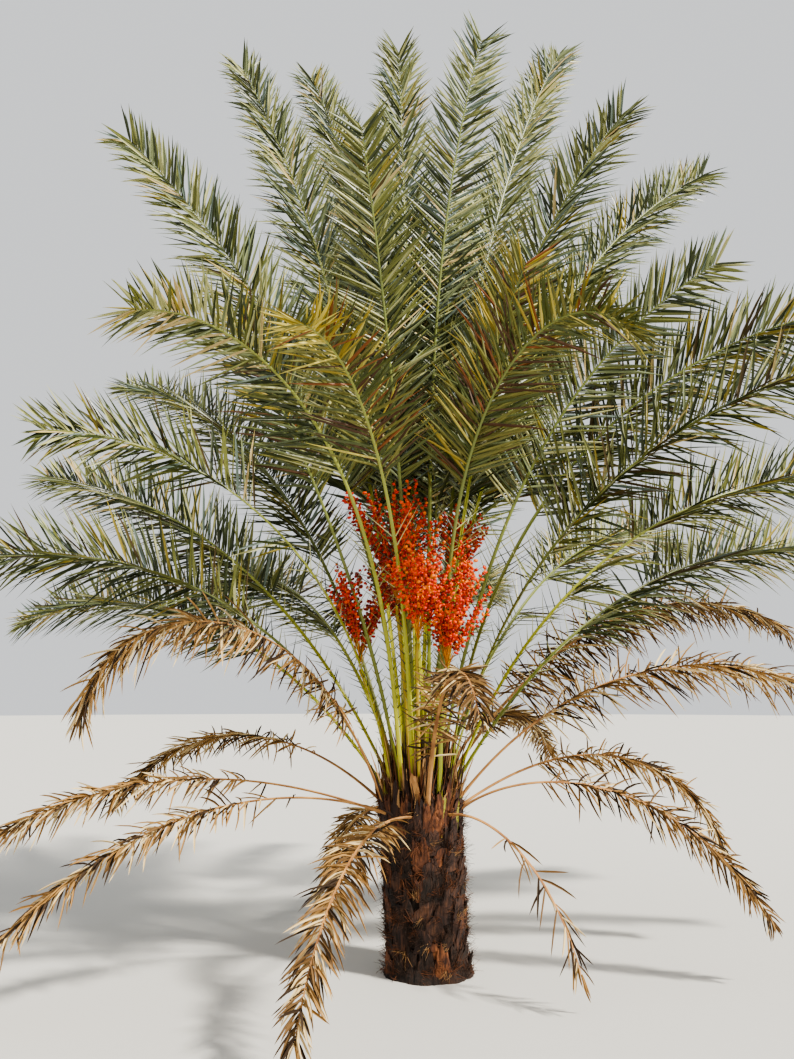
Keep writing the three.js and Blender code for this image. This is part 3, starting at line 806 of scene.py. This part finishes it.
# Where a frond's leaflets stand, in two ranks, and the ways they point
def leafletRoots(rng, frond, form):
    count = int(frond["length"] * (1 - frond["leafStart"]) / form["pitch"])
    order = np.tile(np.arange(count), 2)
    signs = np.repeat([1.0, -1.0], count)[:, None]
    age = np.clip((order + rng.uniform(0, 0.8, 2 * count)) / count, 0, 0.995)
    rib = ribAt(frond, frond["leafStart"] + (1 - frond["leafStart"]) * age)
    angle = np.radians(form["rootAngle"] + (form["tipAngle"] - form["rootAngle"]) * age
                       + rng.normal(0, form["scatter"], 2 * count))
    group = (order + (signs[:, 0] > 0)) % len(form["vees"])
    vee = np.radians(np.array(form["vees"])[group] + rng.normal(0, form["scatter"], 2 * count))
    way = waysOff(rib, signs, angle[:, None], vee[:, None])
    if frond["state"] == "dead":
        hang = frondForm["deadHang"] * deadLeaflet["hang"].get(frond["name"], 1)
        way = unit(way - [0, 0, hang] * rng.uniform(0, 1.6, (2 * count, 1)))
    return age, rib, rib["point"] + rib["side"] * signs * (rib["width"] * 0.3)[:, None], way


# How likely a dead leaflet is still there: near a skirt frond's foot few are
def wholeShare(frond, shares):
    first, last = deadLeaflet["whole"] if frond["number"] >= len(liveFronds) else (0, 0.01)
    first = deadLeaflet["wholeFrom"].get(frond["name"], first)
    whole = np.clip((shares - first) / (last - first), 0.06, 0.94)
    return whole * deadLeaflet["worn"].get(frond["name"], 1)


# Folded blades: each section has two edges over a fold and an underside, and they end in a tip.
def leafletBlades(rng, form, rib, root, way, length):
    count = len(length)
    face = unit(rib["up"] - way * np.sum(rib["up"] * way, axis=1, keepdims=True))
    across = np.cross(way, face)
    roll = np.radians(rng.normal(0, form["roll"], count))[:, None]
    face, across = (face * np.cos(roll) - across * np.sin(roll),
                    across * np.cos(roll) + face * np.sin(roll))
    # The way that it bends: a living one sags a little, a dead one curls at its tip
    if form is deadLeaflet:
        bend = rng.normal(0, 0.12, (count, 3)) + rib["along"] * 0.15 - [0, 0, 0.2]
    else:
        bend = across * rng.normal(0, 0.035, (count, 1)) - [0, 0, 0.07] * rng.random((count, 1))
    width = form["width"] * rng.uniform(0.75, 1.15, count)
    verts = []
    for section, broad in zip(form["sections"], form["widths"]):
        middle = root + (way * section + bend * section ** 2) * length[:, None]
        half = (width * broad / 2)[:, None]
        edge = middle + face * half * form["foldRise"]
        verts += [edge - across * half, middle, edge + across * half, middle - face * leaflet["thickness"]]
    verts.append(root + (way + bend) * length[:, None])
    return np.stack(verts, axis=1)


def frondLeaflets(frond):
    rng = np.random.default_rng(100 + frond["number"])
    form = deadLeaflet if frond["state"] == "dead" else leaflet
    age, rib, root, way = leafletRoots(rng, frond, form)
    length = leafletLengths(age, frond["state"]) * rng.uniform(*form["lengths"], len(age))
    if frond["number"] >= len(liveFronds):
        length *= deadLeaflet["skirtShare"]
    # A leaflet that would leave the model's box or reach the ground is shortened
    reach = way * length[:, None]
    low, high = np.array(cadBox[0]) + leaflet["edgeGap"], np.array(cadBox[1]) - leaflet["edgeGap"]
    room = np.where(reach > 0, (high - root) / np.maximum(reach, 1e-6),
                    (low - root) / np.minimum(reach, -1e-6))
    fit = np.clip(room.min(axis=1), 0.0, 1.0)
    kept = fit > leaflet["leastFit"]
    if form is deadLeaflet:
        kept &= rng.random(len(age)) < wholeShare(frond, rib["share"])
    for share in (0.3, 0.6, 0.9):
        kept &= clearOfFruit(root + reach * share)
    verts = np.clip(leafletBlades(rng, form, rib, root, way, length * fit)[kept], low, high)
    pattern = leafletFaces(len(form["sections"]))
    faces = pattern[None] + (np.arange(len(verts)) * verts.shape[1])[:, None, None]
    colours = dealColours(rng, frond, form, age)[kept]
    return verts.reshape(-1, 3), faces.reshape(-1, 3), np.repeat(colours, len(pattern))


def nodesOf(members):
    return [node for frond in members for node in frond["nodes"]]


def buildLeaflets(name, members, materials, slot):
    makePiece(name, *stack(frondLeaflets(frond) for frond in members), materials, slot, nodesOf(members))


green, tinted, dead = ([frond for frond in fronds if frond["state"] == state]
                       for state in ("green", "tinted", "dead"))
buildLeaflets("leafletsInner", green[:9], greenLeaves, "green_blade")
buildLeaflets("leafletsMiddle", green[9:18], greenLeaves, "green_blade")
buildLeaflets("leafletsOuter", green[18:], greenLeaves, "green_blade")
buildLeaflets("leafletsFading", tinted, tintedLeaves, "tinted_blade")
buildLeaflets("leafletsDead", dead, deadLeaves, "dead_blade")

# Stalks and ribs

stalk = {
    "rings": 44,
    "crowding": 1.15,  # over 1, rings stand closer together near the foot
    "slimness": 0.86,  # of the solid's stalk, which stands for the spines too
    # Its section, from the right edge over the hollow upper side to the keel: across, upwards
    "section": ((1, 0.1), (0.62, 0.5), (0, 0.2), (-0.62, 0.5), (-1, 0.1), (-0.7, -0.6), (0, -1), (0.7, -0.6)),
    "spineStart": 0.35,  # from the foot
    "spinePitch": 0.045,
    "spineLength": 0.045,  # of the first ones; towards the blade they turn into leaflets
    "lastSpineLength": 0.24,
    "spineWidth": 0.008,
    "spineAngles": (35, 60),  # from the stalk
    "spineVees": (-10, 50),  # over the stalk's plane
}


def buildStalks(name, members, materials, slot):
    rod = rodShape(stalk["section"], stalk["rings"])
    shares = np.linspace(0, 1, stalk["rings"]) ** stalk["crowding"]
    parts = []
    for frond in members:
        rib = ribAt(frond, shares)
        half = rib["width"][:, None] / 2 * stalk["slimness"]
        verts, faces, ring = bendRod(rod, rib["point"], rib["side"] * half,
                                     rib["up"] * half * frondForm["flatness"])
        parts.append((verts, faces, np.full(len(faces), frond["number"] % len(materials))))
    piece = makePiece(name, *stack(parts), materials, slot, nodesOf(members))
    along = piece.data.attributes.new("along", "FLOAT", "POINT")
    along.data.foreach_set("value", np.tile(shares[ring], len(members)).astype(np.float32))


buildStalks("stalksGreen", green, livingStalks, "green_blade")
buildStalks("stalksFading", tinted, livingStalks, "tinted_blade")
buildStalks("stalksDead", dead, [dryStalk], "dead_blade")


# A thin three-sided cone, which may be cut across to bend over towards its tip
def coneShape(tip, cuts=0, bend=0.0):
    bm = bmesh.new()
    bmesh.ops.create_cone(bm, cap_ends=True, segments=3, radius1=0.5, radius2=tip, depth=1.0,
                          matrix=Matrix.Translation((0, 0, 0.5)))
    if cuts:
        long = [e for e in bm.edges if abs(e.verts[0].co.z - e.verts[1].co.z) > 0.5]
        bmesh.ops.subdivide_edges(bm, edges=long, cuts=cuts)
    for vert in bm.verts:
        vert.co.x += bend * vert.co.z ** 2
    return shapeArrays(bm)


# Spines stand in loose pairs along the upper part of each living bare stalk.
def buildSpines():
    rng = np.random.default_rng(9)
    parts = []
    for frond in green + tinted:
        first = stalk["spineStart"] / frond["length"]
        count = int((frond["leafStart"] - first) * frond["length"] / stalk["spinePitch"])
        shares = np.repeat(np.linspace(first, frond["leafStart"] + 0.03, count), 2)
        signs = np.tile([1.0, -1.0], count)[:, None]
        rib = ribAt(frond, shares)
        angle = np.radians(rng.uniform(*stalk["spineAngles"], 2 * count))[:, None]
        vee = np.radians(rng.uniform(*stalk["spineVees"], 2 * count))[:, None]
        place = rib["point"] + rib["side"] * signs * rib["width"][:, None] * 0.4
        nearBlade = ((shares - first) / (frond["leafStart"] - first)) ** 2
        length = stalk["spineLength"] + (stalk["lastSpineLength"] - stalk["spineLength"]) * nearBlade
        length *= rng.uniform(0.75, 1.2, 2 * count)
        parts.append((place, unit(waysOff(rib, signs, angle, vee)), length))
    places, ways, lengths = (np.concatenate(rows) for rows in zip(*parts))
    width = np.full(len(lengths), stalk["spineWidth"])
    sizes = np.stack([width, width, lengths], axis=1)
    verts, faces = joinCopies(coneShape(0.02), places, ways, sizes, rng.uniform(0, 6.28, len(places)))
    shades = np.repeat(rng.choice(3, len(places), p=[0.4, 0.3, 0.3]), len(faces) // len(places))
    skins = [greenLeaves[tone] for tone in (4, 1, 3)]
    makePiece("spines", verts, faces, shades, skins, "green_blade", nodesOf(green))


buildSpines()
print("fronds dressed")

# Trunk

bark = {
    "around": 140,
    "rows": 100,
    "sink": 0.014,  # the matted core lies this far within the leaf bases
    "relief": 0.016,
    "baseRows": 12,
    "basesInRow": 11,
    "baseSize": (0.036, 0.11, 0.14),  # outwards, sideways and upwards, as are the sizes below
    "uneven": 0.035,
    "jag": 0.16,  # of a base's height, at its torn upper edge
    # Narrow bases close together under the rim, and the cut ends of dead stalks at it
    "rim": {"count": 22, "stray": 0.2, "size": (0.024, 0.062, 0.17), "varies": (0.75, 1.25),
            "rises": (-0.01, -0.1), "leans": (0, 8), "turns": 9, "skins": (1, 1, 2)},
    "stubs": {"count": 19, "stray": 0.25, "size": (0.026, 0.044, 0.22), "varies": (0.7, 1.25),
              "rises": (-0.03, 0.05), "leans": (4, 16), "turns": 8, "skins": (1, 1, 2, 4)},
    "sheathSize": (0.036, 0.044, 0.19),
    "sheathBelow": 0.10,  # a live stalk's sheath reaches down this far from its foot
}


def coreRadius(z):
    if z <= trunk["height"]:
        return trunkRadius(z) - bark["sink"]
    rise = min(1, (z - trunk["height"]) / trunk["domeHeight"])
    return max(0.004, (trunk["rimRadius"] - bark["sink"]) * math.sqrt(1 - rise))


# A point of the trunk's outside and the direction outwards there
def barkSpot(angle, z, sink):
    out = np.array([math.cos(angle), math.sin(angle), 0])
    radius = (trunkRadius(z) if z <= trunk["height"] else coreRadius(z)) - sink
    return trunkCentre(z) + out * radius, out


def buildCore():
    bm = bmesh.new()
    bmesh.ops.create_grid(bm, x_segments=bark["around"], y_segments=bark["rows"], size=0.5)
    top = trunk["height"] + trunk["domeHeight"]
    for vert in bm.verts:
        angle = (vert.co.x + 0.5) * 2 * math.pi
        z = (vert.co.y + 0.5) * top
        spot = Vector((math.cos(angle), math.sin(angle), z * 4))
        fine = noise.noise(Vector((spot.x * 14, spot.y * 14, z * 9)))
        rough = noise.fractal(spot * 2.2, 1.0, 2.0, 4) + 0.5 * fine
        place, out = barkSpot(angle, z, bark["sink"])
        vert.co = place + out * (bark["relief"] * rough * min(1, coreRadius(z) / 0.1))
        vert.co.z = z
    bmesh.ops.remove_doubles(bm, verts=bm.verts, dist=1e-5)
    bmesh.ops.holes_fill(bm, edges=[e for e in bm.edges if e.is_boundary])
    return shapeArrays(bm)


# An old leaf base: broad below, narrower at its torn top, which stands away from the trunk
def baseShape(topShare, stand):
    bm = bmesh.new()
    bmesh.ops.create_cube(bm, size=1.0)
    bmesh.ops.subdivide_edges(bm, edges=bm.edges, cuts=3, use_grid_fill=True)
    for vert in bm.verts:
        rise = vert.co.z + 0.5
        vert.co.y *= 1 + (topShare - 1) * rise
        vert.co.x = vert.co.x * (1 - 0.45 * rise) * (1 - 1.6 * vert.co.y ** 2) + stand * rise ** 2
    bmesh.ops.smooth_vert(bm, verts=bm.verts, factor=0.3, use_axis_x=True, use_axis_y=True, use_axis_z=True)
    return shapeArrays(bm)


# Bases, each a little different, by their angle, height, size, lean, turn and material
def placeBases(shape, rng, spots):
    verts, faces = shape
    parts = []
    upper = np.clip((verts[:, 2] - 0.2) / 0.3, 0, 1)
    for angle, z, (depth, width, height), lean, roll, material in spots:
        place, out = barkSpot(angle, z, depth * 0.5)
        turn = Matrix.Rotation(angle, 3, "Z") @ Matrix.Rotation(lean, 3, "Y") @ Matrix.Rotation(roll, 3, "X")
        rough = rng.normal(0, bark["uneven"], verts.shape)
        rough[:, 2] += upper * rng.normal(0, bark["jag"], len(verts))
        local = (verts + rough) * [depth, width, height]
        parts.append((local @ np.array(turn).T + place, faces, np.full(len(faces), material)))
    return stack(parts)


def buildTrunk():
    rng = np.random.default_rng(21)
    core = buildCore()
    rowHeight = trunk["height"] / bark["baseRows"]
    low, broad, stubs, sheaths = [], [], [], []
    for row in range(bark["baseRows"]):
        for k in range(bark["basesInRow"]):
            angle = (k + 0.5 * (row % 2) + rng.normal(0, 0.16)) * 2 * math.pi / bark["basesInRow"]
            size = bark["baseSize"] * rng.uniform(0.65, 1.15, 3)
            z = max((row + 0.5) * rowHeight + rng.normal(0, 0.016), size[2] * 0.5)
            spot = (angle, z, size, math.radians(rng.uniform(0, 7)), math.radians(rng.normal(0, 11)),
                    rng.choice(3, p=[0.3, 0.48, 0.22]))
            (low if rng.random() < 0.5 else broad).append(spot)
    for ring, spots in ((bark["rim"], low), (bark["stubs"], stubs)):
        first, last = ring["rises"]
        for k in range(ring["count"]):
            angle = (k + rng.normal(0, ring["stray"])) * 2 * math.pi / ring["count"]
            size = ring["size"] * rng.uniform(*ring["varies"], 3)
            z = trunk["height"] + first + (last - first) * rng.random()
            spots.append((angle, z, size, math.radians(rng.uniform(*ring["leans"])),
                          math.radians(rng.normal(0, ring["turns"])), rng.choice(ring["skins"])))
    # Sheaths run down the trunk from the outer live stalks
    for frond in fronds[18:len(liveFronds)]:
        foot = frond["points"][0]
        angle = math.atan2(foot[1], foot[0] - trunk["shiftX"])
        z = trunk["height"] - bark["sheathBelow"] * rng.uniform(0.2, 0.9)
        sheaths.append((angle, z, bark["sheathSize"], math.radians(rng.uniform(2, 6)), rng.normal(0, 0.06),
                        1 if frond["state"] == "dead" else 3))
    parts = [(*core, np.zeros(len(core[1])))]
    shapes = (0.55, 0.5), (0.8, 0.25), (0.7, 0.3), (0.75, 0.1)
    for shape, spots in zip(shapes, (low, broad, stubs, sheaths)):
        parts.append(placeBases(baseShape(*shape), rng, spots))
    skins = [trunkBark, baseBark, redBark, stubBark, dryStalk]
    makePiece("trunkBark", *stack(parts), skins, "bark", ["trunk"])


buildTrunk()


# Loose fibre

fibre = {
    "tufts": 620,
    "inTuft": 11,
    "length": 0.055,
    "width": 0.0034,
    "bend": 5.0,  # of the tip, in widths of the fibre
    "sink": 0.006,
    "groundGap": 0.01,
    "shares": (0.55, 0.37, 0.08),
    "thinness": 0.16,  # of a flat strip, as a share of its width
    # Rags that stand up round the rim, and strips between the stalks' feet
    "rags": {"count": 150, "outwards": (-0.1, 0.5), "stray": 0.22, "widths": (0.008, 0.028),
             "lengths": (0.05, 0.16), "bend": 0.6, "shares": (0.42, 0.33, 0.25)},
    "screens": {"count": 520, "outwards": (0, 0.3), "stray": 0.1, "widths": (0.008, 0.024),
                "lengths": (0.08, 0.34), "bend": 0.3, "shares": (0.46, 0.24, 0.30)},
}


def barkSpots(angles, heights, sink):
    spots = [barkSpot(angle, z, sink) for angle, z in zip(angles, heights)]
    return [np.array(rows) for rows in zip(*spots)]


# Copies of a fibre, of which some together share a material
def layFibres(rng, shape, places, ways, sizes, shares, together=1):
    verts, faces = joinCopies(shape, places, ways, sizes, rng.uniform(0, 6.28, len(places)))
    skins = rng.choice(len(fibreSkins), len(places) // together, p=shares)
    return verts, faces, np.repeat(skins, together * len(shape[1]))


# Tufts all over the trunk. The fibres of one tuft lie much the same way.
def layTufts(rng):
    tufts, each = fibre["tufts"], fibre["inTuft"]
    count = tufts * each
    z = np.repeat(rng.uniform(0.02, trunk["height"] + 0.08, tufts), each)
    angle = np.repeat(rng.uniform(0, 2 * math.pi, tufts), each)
    z = np.clip(z + rng.normal(0, 0.012, count), 0.012, None)
    places, out = barkSpots(angle + rng.normal(0, 0.05, count), z, fibre["sink"])
    comb = np.repeat(rng.normal(0, 0.7, tufts), each)[:, None]
    lift = np.repeat(rng.normal(0.1, 0.8, tufts), each)[:, None]
    ways = unit(out * rng.uniform(0.1, 0.6, (count, 1))
                + np.cross([0, 0, 1], out) * (comb + rng.normal(0, 0.3, (count, 1)))
                + [0, 0, 1] * (lift + rng.normal(0, 0.3, (count, 1))))
    lengths = fibre["length"] * rng.uniform(0.4, 1.5, count)
    room = np.where(ways[:, 2] < 0, (z - fibre["groundGap"]) / np.maximum(-ways[:, 2], 1e-3), lengths)
    width = fibre["width"] * rng.uniform(0.6, 1.3, count)
    sizes = np.stack([width, width, np.minimum(lengths, room)], axis=1)
    return layFibres(rng, coneShape(0.15, 2, fibre["bend"]), places, ways, sizes, fibre["shares"], each)


# Strips that stand up, each leaning a little outwards
def layStrips(rng, form, places, out):
    count = form["count"]
    ways = unit(out * rng.uniform(*form["outwards"], (count, 1)) + [0, 0, 1.0]
                + rng.normal(0, form["stray"], (count, 3)))
    width = rng.uniform(*form["widths"], count)
    sizes = np.stack([width, width * fibre["thinness"], rng.uniform(*form["lengths"], count)], axis=1)
    return layFibres(rng, coneShape(0.15, 2, form["bend"]), places, ways, sizes, form["shares"])


def buildFibre():
    rng = np.random.default_rng(33)
    parts = [layTufts(rng)]
    count = fibre["rags"]["count"]
    z = rng.uniform(trunk["height"] - 0.06, trunk["height"] + 0.12, count)
    places, out = barkSpots(rng.uniform(0, 2 * math.pi, count), z, 0.008)
    parts.append(layStrips(rng, fibre["rags"], places, out))
    count = fibre["screens"]["count"]
    out = direction(rng.uniform(0, 360, count), 90)
    share = np.sqrt(rng.uniform(0.1, 1.0, count))
    places = out * (crown["footRadius"] * share)[:, None] + [trunk["shiftX"], 0, 0]
    places[:, 2] = crown["footHigh"] - (crown["footHigh"] - crown["footLow"]) * share ** 2 - 0.03
    parts.append(layStrips(rng, fibre["screens"], places, out))
    makePiece("looseFibre", *stack(parts), fibreSkins, "bark", ["trunk"])


buildFibre()
print("trunk dressed")
